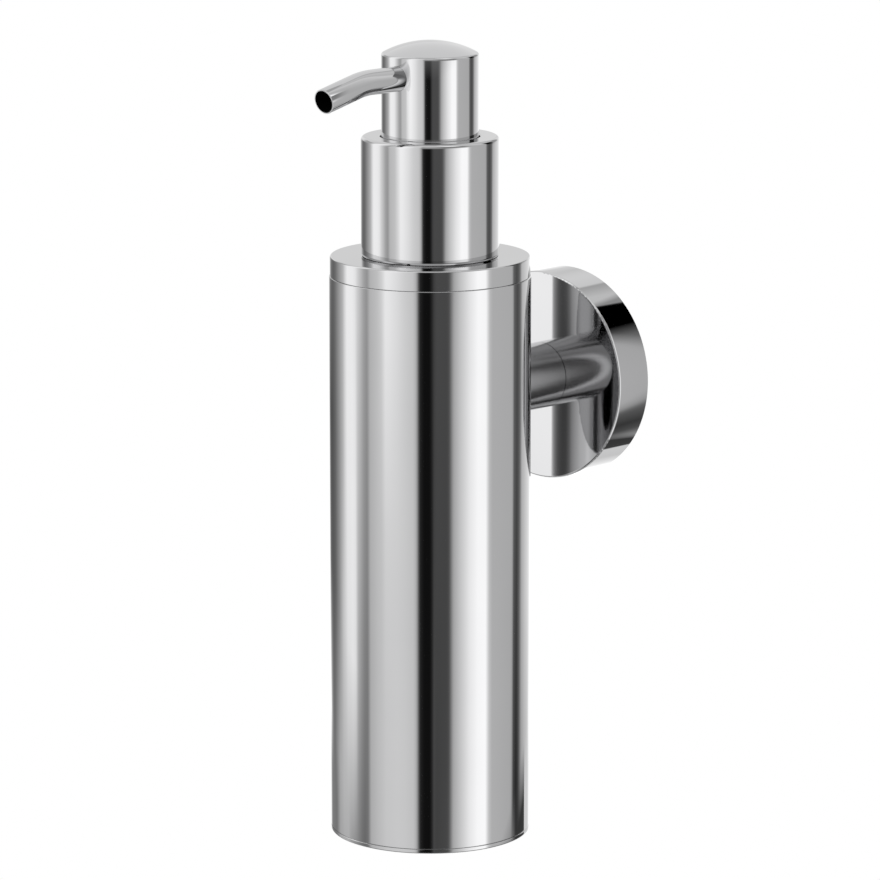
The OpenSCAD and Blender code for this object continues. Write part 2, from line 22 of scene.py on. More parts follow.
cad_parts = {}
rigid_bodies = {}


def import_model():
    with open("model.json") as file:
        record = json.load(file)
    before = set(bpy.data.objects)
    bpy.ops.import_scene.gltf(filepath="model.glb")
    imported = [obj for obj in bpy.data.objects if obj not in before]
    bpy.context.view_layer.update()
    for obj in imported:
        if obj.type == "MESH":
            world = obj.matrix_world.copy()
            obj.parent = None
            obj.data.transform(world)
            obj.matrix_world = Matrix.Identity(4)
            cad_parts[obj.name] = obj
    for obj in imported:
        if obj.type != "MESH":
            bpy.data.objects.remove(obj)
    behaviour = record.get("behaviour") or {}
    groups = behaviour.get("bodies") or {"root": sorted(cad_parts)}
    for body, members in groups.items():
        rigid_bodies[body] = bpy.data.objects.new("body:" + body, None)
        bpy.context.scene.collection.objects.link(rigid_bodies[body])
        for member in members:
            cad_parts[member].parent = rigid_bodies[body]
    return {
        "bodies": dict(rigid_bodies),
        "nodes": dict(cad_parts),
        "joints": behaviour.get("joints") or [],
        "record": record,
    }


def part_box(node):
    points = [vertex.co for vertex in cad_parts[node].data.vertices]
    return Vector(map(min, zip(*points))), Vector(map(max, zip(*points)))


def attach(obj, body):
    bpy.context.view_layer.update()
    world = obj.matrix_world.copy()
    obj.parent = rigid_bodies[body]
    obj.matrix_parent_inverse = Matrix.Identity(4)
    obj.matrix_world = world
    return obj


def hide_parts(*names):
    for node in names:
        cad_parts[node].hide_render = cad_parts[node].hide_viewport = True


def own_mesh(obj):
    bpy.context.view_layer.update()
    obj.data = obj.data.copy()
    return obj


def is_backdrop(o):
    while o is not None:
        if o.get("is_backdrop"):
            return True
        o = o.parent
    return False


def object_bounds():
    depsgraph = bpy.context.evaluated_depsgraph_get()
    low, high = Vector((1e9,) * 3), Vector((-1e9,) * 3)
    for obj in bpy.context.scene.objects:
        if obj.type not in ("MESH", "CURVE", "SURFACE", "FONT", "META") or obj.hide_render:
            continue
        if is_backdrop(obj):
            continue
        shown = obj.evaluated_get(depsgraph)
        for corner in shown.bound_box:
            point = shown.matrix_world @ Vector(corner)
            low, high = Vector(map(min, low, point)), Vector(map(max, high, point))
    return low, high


LOG = logging.getLogger("soap_dispenser")
MM = 0.001
MERGE = 0.0005 * MM  # points closer than this become one
ROUND_SEGMENTS = 6  # facets of a turned rounding
HOLE_SIDES = 64
Triple = tuple[float, float, float]
Colour = Triple
Outline = list[Triple]


# ------------------------------------------------------------------ materials


class Shader:
    """A material's node tree, with short calls to add nodes and join them.

    Args:
        name: name of the new material.
    """

    noise_low = 0.3  # about the lowest value of a noise
    noise_high = 0.7  # about its highest value

    def __init__(self, name: str) -> None:
        """Starts with an empty tree and its output."""
        self.material = bpy.data.materials.new(name)
        self.material.use_nodes = True
        self.tree = self.material.node_tree
        self.tree.nodes.clear()
        self.output = self.add("ShaderNodeOutputMaterial")

    def add(self, kind: str, **settings: object) -> bpy.types.Node:
        """Adds a node.

        Args:
            kind: Blender's type name of the node.
            **settings: properties of the node.

        Returns:
            The new node.
        """
        node = self.tree.nodes.new(kind)
        for key, value in settings.items():
            setattr(node, key, value)
        return node

    def join(self, source: bpy.types.NodeSocket, target: bpy.types.NodeSocket) -> None:
        """Links an output socket to an input socket."""
        self.tree.links.new(source, target)

    def principled(self, colour: Colour, roughness: float, metallic: float) -> bpy.types.Node:
        """Adds the main surface shader and joins it to the output.

        Args:
            colour: base colour, linear.
            roughness: roughness where no texture drives it.
            metallic: 0 for a dielectric and 1 for a metal.

        Returns:
            The Principled node.
        """
        surface = self.add("ShaderNodeBsdfPrincipled")
        surface.inputs["Base Color"].default_value = (*colour, 1.0)
        surface.inputs["Roughness"].default_value = roughness
        surface.inputs["Metallic"].default_value = metallic
        self.join(surface.outputs["BSDF"], self.output.inputs["Surface"])
        return surface

    def place(self, stretch: Triple = (1.0, 1.0, 1.0)) -> bpy.types.NodeSocket:
        """Adds Object coordinates, scaled along each axis.

        Args:
            stretch: scale of the coordinates along X, Y and Z.

        Returns:
            The vector output.
        """
        texture = self.add("ShaderNodeTexCoord")
        mapping = self.add("ShaderNodeMapping")
        mapping.inputs["Scale"].default_value = stretch
        self.join(texture.outputs["Object"], mapping.inputs["Vector"])
        return mapping.outputs["Vector"]

    def noise(self, place: bpy.types.NodeSocket, scale: float, detail: float) -> bpy.types.NodeSocket:
        """Adds a noise texture.

        Args:
            place: coordinates that it reads.
            scale: features per metre.
            detail: number of octaves.

        Returns:
            The factor output.
        """
        texture = self.add("ShaderNodeTexNoise")
        texture.inputs["Scale"].default_value = scale
        texture.inputs["Detail"].default_value = detail
        self.join(place, texture.inputs["Vector"])
        return texture.outputs["Fac"]

    def spread(self, factor: bpy.types.NodeSocket, low: float, high: float) -> bpy.types.NodeSocket:
        """Maps the values that a noise takes onto a range.

        Args:
            factor: the factor output.
            low: result at the noise's low value.
            high: result at its high value.

        Returns:
            The mapped output.
        """
        mapped = self.add("ShaderNodeMapRange")
        mapped.inputs["From Min"].default_value = self.noise_low
        mapped.inputs["From Max"].default_value = self.noise_high
        mapped.inputs["To Min"].default_value = low
        mapped.inputs["To Max"].default_value = high
        self.join(factor, mapped.inputs["Value"])
        return mapped.outputs["Result"]

    def blend(self, factor: bpy.types.NodeSocket, one: Colour, other: Colour) -> bpy.types.NodeSocket:
        """Mixes two colours.

        Args:
            factor: share of the other colour.
            one: first colour, linear.
            other: second colour, linear.

        Returns:
            The colour output.
        """
        sockets, result = self.colour_mix("MIX")
        sockets["A_Color"].default_value = (*one, 1.0)
        sockets["B_Color"].default_value = (*other, 1.0)
        self.join(factor, sockets["Factor_Float"])
        return result

    def colour_mix(self, way: str) -> tuple[dict[str, bpy.types.NodeSocket], bpy.types.NodeSocket]:
        """Adds a Mix node for colours, whose sockets share their names with its other kinds.

        Args:
            way: Blender's name of how the colours are mixed.

        Returns:
            The inputs by identifier, and the colour output.
        """
        mix = self.add("ShaderNodeMix", data_type="RGBA", blend_type=way)
        result = next(s for s in mix.outputs if s.identifier == "Result_Color")
        return {s.identifier: s for s in mix.inputs}, result

    def bump(
        self, surface: bpy.types.Node, height: bpy.types.NodeSocket, depth: float, strength: float
    ) -> None:
        """Bumps a surface by a height.

        Args:
            surface: the shader whose normal is bumped.
            height: height output, 0 to 1.
            depth: height of 1, in metres.
            strength: strength of the bump.
        """
        node = self.add("ShaderNodeBump")
        node.inputs["Distance"].default_value = depth
        node.inputs["Strength"].default_value = strength
        self.join(height, node.inputs["Height"])
        self.join(node.outputs["Normal"], surface.inputs["Normal"])


@dataclass(frozen=True)
class PolishedSteel:
    """Mirror polished steel, with a breath of haze left by the polishing wheel.

    A seam, where it has one, gets a dark hairline of painted shade across Y at that place.
    """

    name: str = "polished_steel"
    colour: Colour = (0.55, 0.55, 0.555)
    hazy_colour: Colour = (0.54, 0.54, 0.546)
    gloss: float = 0.025
    haze: float = 0.05
    patch: float = 60.0
    line: float = 900.0
    line_stretch: Triple = (1, 1, 6)
    line_depth: float = 0.004 * MM
    line_strength: float = 0.02
    # seam: Y of the joint, where a hairline of painted shade darkens the colour
    seam: float | None = None
    seam_shade_width: float = 0.12 * MM
    seam_shade_tint: Colour = (0.1, 0.1, 0.1)

    def material(self) -> bpy.types.Material:
        """Builds the material.

        Returns:
            The material.
        """
        shader = Shader(self.name)
        surface = shader.principled(self.colour, self.gloss, 1.0)
        place = shader.place()
        patches = shader.noise(place, self.patch, detail=3.0)
        base = shader.blend(shader.spread(patches, 0.0, 1.0), self.colour, self.hazy_colour)
        # painted shade along the joint with the neighbouring piece
        if self.seam is not None:
            base = self.paint_seam_shade(shader, place, base)
        shader.join(base, surface.inputs["Base Color"])
        shader.join(shader.spread(patches, self.gloss, self.haze), surface.inputs["Roughness"])
        lines = shader.noise(shader.place(self.line_stretch), self.line, detail=2.0)
        shader.bump(surface, lines, self.line_depth, self.line_strength)
        return shader.material

    def paint_seam_shade(
        self, shader: Shader, place: bpy.types.NodeSocket, base: bpy.types.NodeSocket
    ) -> bpy.types.NodeSocket:
        """Paints shade on the hairline where the piece butts against its neighbour.

        Args:
            shader: shader that takes the nodes.
            place: coordinates on the piece.
            base: colour of the metal.

        Returns:
            The colour with the painted shade of the seam.
        """
        axes = shader.add("ShaderNodeSeparateXYZ")
        shader.join(place, axes.inputs["Vector"])
        # mask of the painted shade hairline, seam_shade_width wide about the seam's Y
        seam_shade_mask = shader.add("ShaderNodeMath", operation="COMPARE")
        seam_shade_mask.inputs[1].default_value = self.seam
        seam_shade_mask.inputs[2].default_value = self.seam_shade_width
        shader.join(axes.outputs["Y"], seam_shade_mask.inputs[0])
        sockets, result = shader.colour_mix("MULTIPLY")
        sockets["B_Color"].default_value = (*self.seam_shade_tint, 1.0)
        shader.join(seam_shade_mask.outputs["Value"], sockets["Factor_Float"])
        shader.join(base, sockets["A_Color"])
        return result


@dataclass(frozen=True)
class BareMetal:
    """A plated, blackened or drawn metal, duller than the polished steel."""

    name: str
    colour: Colour
    worn: Colour
    gloss: float
    dull: float
    patch: float = 350.0
    grain: float = 2500.0
    grain_depth: float = 0.02 * MM
    grain_strength: float = 0.25

    def material(self) -> bpy.types.Material:
        """Builds the material.

        Returns:
            The material.
        """
        shader = Shader(self.name)
        surface = shader.principled(self.colour, self.gloss, 1.0)
        place = shader.place()
        patches = shader.noise(place, self.patch, detail=4.0)
        mottle = shader.spread(patches, 0.0, 1.0)
        shader.join(shader.blend(mottle, self.colour, self.worn), surface.inputs["Base Color"])
        shader.join(shader.spread(patches, self.gloss, self.dull), surface.inputs["Roughness"])
        grain = shader.noise(place, self.grain, detail=3.0)
        shader.bump(surface, grain, self.grain_depth, self.grain_strength)
        return shader.material


@dataclass(frozen=True)
class MouldedPlastic:
    """An injection or blow moulded plastic."""

    name: str
    colour: Colour
    flow: Colour
    gloss: float
    dull: float
    clear: float = 0.0
    glow: float = 0.0
    glow_depth: float = 1.5 * MM
    ior: float = 1.5
    patch: float = 180.0
    flow_stretch: Triple = (1, 1, 0.3)
    grain: float = 3000.0
    grain_depth: float = 0.02 * MM
    grain_strength: float = 0.15

    def material(self) -> bpy.types.Material:
        """Builds the material.

        Returns:
            The material.
        """
        shader = Shader(self.name)
        surface = shader.principled(self.colour, self.gloss, 0.0)
        surface.inputs["IOR"].default_value = self.ior
        surface.inputs["Transmission Weight"].default_value = self.clear
        surface.inputs["Subsurface Weight"].default_value = self.glow
        surface.inputs["Subsurface Scale"].default_value = self.glow_depth
        place = shader.place()
        flow = shader.noise(shader.place(self.flow_stretch), self.patch, detail=3.0)
        shader.join(
            shader.blend(shader.spread(flow, 0.0, 1.0), self.colour, self.flow),
            surface.inputs["Base Color"],
        )
        shader.join(shader.spread(flow, self.gloss, self.dull), surface.inputs["Roughness"])
        grain = shader.noise(place, self.grain, detail=2.0)
        shader.bump(surface, grain, self.grain_depth, self.grain_strength)
        return shader.material


class Finish(Enum):
    """The finishes of this dispenser's pieces."""

    POLISHED = PolishedSteel()
    # the arm's end at Y -10.8 mm gets a hairline of painted shade where it meets the rose
    TURNED = PolishedSteel("turned_steel", gloss=0.14, haze=0.2, seam=-10.8 * MM)
    PLATED = BareMetal("zinc_steel", (0.62, 0.64, 0.67), (0.52, 0.53, 0.55), 0.24, 0.38)
    BLACKENED = BareMetal("dark_steel", (0.06, 0.06, 0.065), (0.12, 0.115, 0.11), 0.3, 0.5)
    DRAWN = BareMetal("spring_steel", (0.6, 0.6, 0.61), (0.5, 0.5, 0.51), 0.18, 0.32)
    GROUND = BareMetal("ball_steel", (0.72, 0.73, 0.75), (0.66, 0.67, 0.69), 0.05, 0.1)
    NATURAL = MouldedPlastic(
        "clear_plastic", (0.78, 0.8, 0.8), (0.72, 0.745, 0.75), 0.3, 0.45, clear=0.25, glow=0.3
    )
    WHITE = MouldedPlastic("white_plastic", (0.82, 0.82, 0.8), (0.78, 0.78, 0.76), 0.35, 0.5, glow=0.1)
    # near-black inside of the spout: painted shade of the deep bore
    PAINTED_BORE_SHADE = BareMetal("spout_bore_painted_shade", (0.004, 0.004, 0.004), (0.008, 0.008, 0.008), 0.7, 0.8)
    RUBBER = MouldedPlastic("seal_rubber", (0.02, 0.02, 0.021), (0.035, 0.035, 0.036), 0.55, 0.75)


class Shelf:
    """Makes each finish once, when it is first asked for."""

    def __init__(self) -> None:
        """Starts with nothing made."""
        self.made: dict[Finish, bpy.types.Material] = {}

    def take(self, finish: Finish) -> bpy.types.Material:
        """Finds or makes the material of a finish.

        Args:
            finish: the finish.

        Returns:
            Its material.
        """
        if finish not in self.made:
            self.made[finish] = finish.value.material()
        return self.made[finish]


# --------------------------------------------------------------------- meshes


def object_from(bm: bmesh.types.BMesh, name: str, crease: float = math.radians(40)) -> bpy.types.Object:
    """Makes an object from a bmesh, smooth but for its sharp edges.

    Args:
        bm: the finished bmesh, which is freed.
        name: name of the object.
        crease: angle from which an edge stays sharp.

    Returns:
        The new object, at the origin.
    """
    bmesh.ops.remove_doubles(bm, verts=bm.verts, dist=MERGE)
    bmesh.ops.recalc_face_normals(bm, faces=bm.faces)
    settle(bm)
    for face in bm.faces:
        face.smooth = True
    for edge in bm.edges:
        edge.smooth = len(edge.link_faces) == 2 and edge.calc_face_angle() < crease
    mesh = bpy.data.meshes.new(name)
    bm.to_mesh(mesh)
    bm.free()
    piece = bpy.data.objects.new(name, mesh)
    bpy.context.scene.collection.objects.link(piece)
    return piece


def once(found: Iterable) -> list:
    """Drops repeats and keeps the order."""
    return list(dict.fromkeys(found))


def settle(bm: bmesh.types.BMesh) -> None:
    """Puts points and faces in an order of their own, which Blender's operators don't keep.

    Args:
        bm: bmesh that is put in order, so that each run gives the same mesh.
    """
    for index, vert in enumerate(sorted(bm.verts, key=lambda v: v.co[:])):
        vert.index = index
    bm.verts.sort()
    for index, face in enumerate(sorted(bm.faces, key=lambda f: sorted(v.index for v in f.verts))):
        face.index = index
    bm.faces.sort()


def verts_of(found: list) -> list[bmesh.types.BMVert]:
    """Picks the vertices out of what an operator returned."""
    return [e for e in found if isinstance(e, bmesh.types.BMVert)]


def edges_of(found: list) -> list[bmesh.types.BMEdge]:
    """Picks the edges out of what an operator returned."""
    return [e for e in found if isinstance(e, bmesh.types.BMEdge)]


def held_outline(outline: Outline, gap: float = 0.05 * MM) -> Outline:
    """Adds a point beside each rounding, so that the long faces keep their own normals.

    Args:
        outline: points as radius, height and rounding of the corner.
        gap: distance of the new points from the roundings.

    Returns:
        The outline with the new points.
    """
    held = []
    for start, end in zip(outline, outline[1:] + outline[:1]):
        held.append(start)
        length = math.hypot(end[0] - start[0], end[1] - start[1])
        if length < start[2] + end[2] + 4 * gap:
            continue
        for rounding, reach in ((start[2], start[2] + gap), (end[2], length - end[2] - gap)):
            if rounding > 0:
                share = reach / length
                place = (a + share * (b - a) for a, b in zip(start[:2], end[:2]))
                held.append((*place, 0.0))
    return held


def spin_outline(bm: bmesh.types.BMesh, outline: Outline, centre: Vector, steps: int) -> None:
    """Turns a closed outline about an upright axis, with closed poles.

    Args:
        bm: bmesh that takes the shape.
        outline: points as radius, height and rounding of the corner.
        centre: a point on the axis.
        steps: segments of the full turn.
    """
    outline = held_outline(outline)
    corners = [bm.verts.new((centre.x + r, centre.y, z)) for r, z, _ in outline]
    face = bm.faces.new(corners)
    for rounding in sorted({p[2] for p in outline if p[2] > 0}, reverse=True):
        chosen = [v for v, p in zip(corners, outline) if p[2] == rounding]
        bmesh.ops.bevel(
            bm,
            geom=chosen,
            offset=rounding,
            offset_type="OFFSET",
            affect="VERTICES",
            segments=ROUND_SEGMENTS,
            profile=0.5,
            material=-1,
        )
    face = next(f for f in bm.faces if f.is_valid)
    on_axis = [e for e in face.edges if all(v.co.x == centre.x for v in e.verts)]
    rim = [e for e in face.edges if e not in on_axis]
    bmesh.ops.delete(bm, geom=[face], context="FACES_ONLY")
    bmesh.ops.delete(bm, geom=on_axis, context="EDGES")
    bmesh.ops.spin(
        bm,
        geom=rim + once(v for e in rim for v in e.verts),
        cent=centre,
        axis=(0, 0, 1),
        angle=2 * math.pi,
        steps=steps,
        use_merge=True,
    )


def bore(bm: bmesh.types.BMesh, start: Vector, end: Vector, radius: float) -> None:
    """Bores a round hole through a shape.

    Args:
        bm: bmesh that is bored.
        start: point where the drill starts.
        end: point where it stops.
        radius: radius of the hole.
    """
    way = end - start
    turn = way.to_track_quat("Z", "Y").to_matrix().to_4x4()
    drill = bmesh.new()
    bmesh.ops.create_cone(
        drill,
        cap_ends=True,
        segments=HOLE_SIDES,
        radius1=radius,
        radius2=radius,
        depth=way.length,
        matrix=Matrix.Translation((start + end) / 2) @ turn,
    )
    bmesh.ops.recalc_face_normals(bm, faces=bm.faces)
    blank, cutter = object_from(bm.copy(), "blank"), object_from(drill, "drill")
    hole = blank.modifiers.new("hole", "BOOLEAN")
    hole.object = cutter
    hole.solver = "EXACT"
    bm.clear()
    bm.from_object(blank, bpy.context.evaluated_depsgraph_get())
    for scrap in (blank, cutter):
        bpy.data.objects.remove(scrap)


@dataclass(frozen=True)
class RoundPlace:
    """Where an upright round node of the frame stands.

    Attributes:
        centre: the point of its axis at the height of the arm.
        radius: its outer radius.
        foot: height of its lowest point.
        top: height of its highest point.
    """

    centre: Vector
    radius: float
    foot: float
    top: float


def place_of(node: str) -> RoundPlace:
    """Measures an upright round node of the frame.

    Args:
        node: name of the CAD node.

    Returns:
        Where it stands.
    """
    low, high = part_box(node)
    centre = Vector(((low.x + high.x) / 2, (low.y + high.y) / 2, 0))
    return RoundPlace(centre, (high.x - low.x) / 2, low.z, high.z)


# ----------------------------------------------------------------- assemblies


@dataclass
class Assembly:
    """What all sub-assemblies share.

    Attributes:
        frame: the loaded frame.
        shelf: the finishes.
        finishes: finish of each of its CAD nodes.
    """

    frame: dict
    shelf: Shelf
    finishes: dict[str, Finish] = field(default_factory=dict)

    def dress(self) -> None:
        """Gives each CAD node its finish."""
        for name, finish in self.finishes.items():
            for slot in self.frame["nodes"][name].material_slots:
                slot.material = self.shelf.take(finish)
            LOG.info("%s: %s", name, finish.name.lower())

    def finish_piece(
        self, piece: bpy.types.Object, body: str, node: str, slot: str, finish: Finish
    ) -> bpy.types.Object:
        """Gives a new piece its material and body, in place of a CAD node.

        Args:
            piece: the new piece.
            body: CAD body that it rides on.
            node: CAD node that it stands for.
            slot: the record's material slot; not used.
            finish: its finish.

        Returns:
            The same piece.
        """
        piece.data.materials.append(self.shelf.take(finish))
        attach(piece, body)
        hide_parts(node)
        LOG.info("%s: %d faces, for %s", piece.name, len(piece.data.polygons), node)
        return piece


@dataclass
class WallMount(Assembly):
    """Rose, plate and arm."""

    def build(self) -> None:
        """Dresses the pieces on the wall."""
        self.finishes = {
            "rose": Finish.POLISHED,
            "arm": Finish.TURNED,
            "wall_plate": Finish.PLATED,
            "arm_screw": Finish.PLATED,
            "tube_screw": Finish.PLATED,
            "curved_washer": Finish.PLATED,
            "set_screw": Finish.BLACKENED,
        }
        self.dress()


@dataclass
class Body(Assembly):
    """Tube and base."""

    wall: float = 1.0 * MM
    seam_edge: float = 0.2 * MM
    base_edge: float = 0.3 * MM
    rim_height: float = 1.1 * MM
    floor: float = 1.5 * MM
    press_ring: float = 4.0 * MM
    foot_ring: float = 2.5 * MM
    foot_ring_radius: float = 21.05 * MM
    ring_wall: float = 1.3 * MM
    inner_edge: float = 0.2 * MM
    press_gap: float = 0.02 * MM
    screw_hole: float = 2.55 * MM
    steps: int = 288

    def build(self) -> None:
        """Turns the tube and its base."""
        place = place_of("body_tube")
        tube = self.turned_tube(place)
        self.finish_piece(tube, "root", "body_tube", "polished_steel", Finish.POLISHED)
        base = self.turned_base(place.centre, place.radius, place_of("base_disc").foot)
        self.finish_piece(base, "root", "base_disc", "polished_steel", Finish.POLISHED)

    def turned_tube(self, place: RoundPlace) -> bpy.types.Object:
        """Turns the tube and bores the hole for its screw.

        Args:
            place: where the tube stands.

        Returns:
            The tube.
        """
        bore_r = place.radius - self.wall
        bm = bmesh.new()
        outline = [
            (bore_r, place.foot, self.inner_edge),
            (place.radius, place.foot, self.seam_edge),
            (place.radius, place.top, self.seam_edge),
            (bore_r, place.top, self.inner_edge),
        ]
        spin_outline(bm, outline, place.centre, self.steps)
        bmesh.ops.remove_doubles(bm, verts=bm.verts, dist=MERGE)
        past_wall = Vector((0, 1.2 * place.radius, 0))
        bore(bm, place.centre, place.centre + past_wall, self.screw_hole)
        return object_from(bm, "tube_turned")

    def turned_base(self, centre: Vector, radius: float, foot: float) -> bpy.types.Object:
        """Turns the base, with the ring that presses into the tube and the one round the bottle.

        Args:
            centre: a point on the axis.
            radius: outer radius.
            foot: height of the underside.

        Returns:
            The base.
        """
        floor = foot + self.floor
        plug = radius - self.wall - self.press_gap
        outline = [
            (0.0, foot, 0.0),
            (radius, foot, self.base_edge),
            (radius, foot + self.rim_height, self.seam_edge),
            (plug, foot + self.rim_height, 0.0),
            (plug, floor + self.press_ring, self.base_edge),
            (plug - self.ring_wall, floor + self.press_ring, self.base_edge),
            (plug - self.ring_wall, floor, self.inner_edge),
            (self.foot_ring_radius, floor, self.inner_edge),
            (self.foot_ring_radius, floor + self.foot_ring, self.base_edge),
            (self.foot_ring_radius - self.ring_wall, floor + self.foot_ring, self.base_edge),
            (self.foot_ring_radius - self.ring_wall, floor, self.inner_edge),
            (0.0, floor, 0.0),
        ]
        bm = bmesh.new()
        spin_outline(bm, outline, centre, self.steps)
        return object_from(bm, "base_turned")


@dataclass
class Bottle(Assembly):
    """Lift-out bottle with a threaded neck, its lid and the lid's seal."""

    radius: float = 19.7 * MM
    wall: float = 1.0 * MM
    foot_round: float = 3.0 * MM
    shoulder_round: float = 6.0 * MM
    punt: float = 1.0 * MM
    neck_bore: float = 9.8 * MM
    neck_root: float = 11.2 * MM
    neck_radius: float = 12.0 * MM
    bead_width: float = 2.4 * MM
    bead_height: float = 1.5 * MM
    bead_drop: float = 1.52 * MM
    under_bead: float = 2.4 * MM
    collar_end: float = 2.2 * MM
    root_start: float = 2.8 * MM
    punt_step: float = 0.4 * MM
    punt_inner_step: float = 0.6 * MM
    soft: float = 0.5 * MM
    edge: float = 0.3 * MM
    fine: float = 0.2 * MM
    mouth_edge: float = 0.35 * MM
    steps: int = 96
    bead_to_neck: float = 1.6 * MM
    thread_pitch: float = 3.0 * MM
    thread_turns: float = 2.0
    thread_width: float = 1.4 * MM
    thread_steps: int = 60
    thread_sink: float = 0.15 * MM
    thread_clear: float = 0.03 * MM
    thread_crest: float = 0.35
    thread_run_out: float = 0.9
    lid_height: float = 5.1 * MM
    lid_top: float = 1.5 * MM
    lid_edge: float = 0.5 * MM
    seam_edge: float = 0.2 * MM
    lid_bore: float = 12.2 * MM
    spigot_radius: float = 24.35 * MM
    spigot_wall: float = 3.0 * MM
    groove_depth: float = 1.8 * MM
    groove_height: float = 1.9 * MM
    lid_steps: int = 288

    def build(self) -> None:
        """Makes the bottle and its lid."""
        self.finishes = {"lid_seal": Finish.RUBBER}
        self.dress()
        self.finish_piece(
            self.threaded_bottle(), "bottle", "liner_bottle", "clear_plastic", Finish.NATURAL
        )
        self.finish_piece(self.turned_lid(), "bottle", "lid", "polished_steel", Finish.POLISHED)

    def turned_lid(self) -> bpy.types.Object:
        """Turns the lid, with its spigot and the groove of the sealing ring.

        Returns:
            The lid.
        """
        place = place_of("lid")
        seal = place_of("lid_seal")
        seam = place.top - self.lid_height
        seal_z = (seal.foot + seal.top) / 2
        groove_r = self.spigot_radius - self.groove_depth
        groove_low = seal_z - self.groove_height / 2
        groove_high = seal_z + self.groove_height / 2
        inside = self.spigot_radius - self.spigot_wall
        ceiling = place.top - self.lid_top
        fine = self.seam_edge / 2
        outline = [
            (self.lid_bore, place.top, fine),
            (place.radius, place.top, self.lid_edge),
            (place.radius, seam, self.seam_edge),
            (self.spigot_radius, seam, 0.0),
            (self.spigot_radius, groove_high, fine),
            (groove_r, groove_high, fine),
            (groove_r, groove_low, fine),
            (self.spigot_radius, groove_low, fine),
            (self.spigot_radius, place.foot, 2 * self.seam_edge),
            (inside, place.foot, self.seam_edge),
            (inside, ceiling, self.seam_edge),
            (self.lid_bore, ceiling, fine),
        ]
        bm = bmesh.new()
        spin_outline(bm, outline, place.centre, self.lid_steps)
        return object_from(bm, "lid_turned")

    def threaded_bottle(self) -> bpy.types.Object:
        """Turns the bottle and winds the thread on its neck.

        Returns:
            The bottle.
        """
        place = place_of("liner_bottle")
        lid_top = place_of("lid").top
        bm = bmesh.new()
        self.turn_body(bm, place, lid_top - self.bead_drop)
        self.wind_thread(bm, place.centre, lid_top + self.bead_to_neck)
        return object_from(bm, "bottle_blown")

    def turn_body(self, bm: bmesh.types.BMesh, place: RoundPlace, bead_top: float) -> None:
        """Turns the hollow bottle as one outline.

        Args:
            bm: bmesh that takes the shape.
            place: where the bottle stands.
            bead_top: height of the bead's upper face.
        """
        foot = place.foot
        shoulder = bead_top - self.bead_height - self.under_bead
        inner = self.radius - self.wall
        punt_r = self.radius - 2 * self.foot_round
        bead_r = self.neck_radius + self.bead_width
        bead_low = bead_top - self.bead_height
        outline = [
            (0.0, foot + self.punt, 0.0),
            (punt_r, foot + self.punt, self.punt_step),
            (punt_r + self.punt_step, foot, self.edge),
            (self.radius, foot, self.foot_round),
            (self.radius, shoulder, self.shoulder_round),
            (self.neck_radius, shoulder, self.soft),
            (self.neck_radius, bead_low, self.fine),
            (bead_r, bead_low, self.edge),
            (bead_r, bead_top, self.edge),
            (self.neck_radius, bead_top, self.fine),
            (self.neck_radius, bead_top + self.collar_end, self.fine),
            (self.neck_root, bead_top + self.root_start, self.fine),
            (self.neck_root, place.top, self.mouth_edge),
            (self.neck_bore, place.top, self.mouth_edge),
            (self.neck_bore, shoulder - self.wall, self.soft),
            (inner, shoulder - self.wall, self.shoulder_round - self.wall),
            (inner, foot + self.wall, self.foot_round - self.wall),
            (punt_r + self.punt_inner_step, foot + self.wall, self.edge),
            (punt_r, foot + self.punt + self.wall, self.punt_step),
            (0.0, foot + self.punt + self.wall, 0.0),
        ]
        spin_outline(bm, outline, place.centre, self.steps)

    def wind_thread(self, bm: bmesh.types.BMesh, centre: Vector, start: float) -> None:
        """Winds the raised thread round the neck, with its ends run out.

        Args:
            bm: bmesh that takes the thread.
            centre: a point on the axis.
            start: height of the thread's first turn.
        """
        root = self.neck_root - self.thread_sink
        crest = self.neck_radius - self.thread_clear
        half = self.thread_width / 2
        section = [
            (root, -half),
            (root, half),
            (crest, self.thread_crest * half),
            (crest, -self.thread_crest * half),
        ]
        ring = [bm.verts.new((centre.x + r, centre.y, start + z)) for r, z in section]
        face = bm.faces.new(ring)
        turned = bmesh.ops.spin(
            bm,
            geom=[face, *face.edges, *ring],
            cent=centre,
            axis=(0, 0, 1),
            dvec=(0, 0, self.thread_pitch / self.thread_steps),
            angle=2 * math.pi * self.thread_turns,
            steps=int(self.thread_steps * self.thread_turns),
        )
        last = verts_of(turned["geom_last"])
        for end in (ring, last):
            middle = sum((v.co for v in end), Vector()) / len(end)
            outwards = Vector((middle.x - centre.x, middle.y - centre.y, 0)).normalized()
            for vert in end:
                radius = (vert.co - centre).dot(outwards)
                vert.co -= outwards * max(0.0, radius - root) * self.thread_run_out


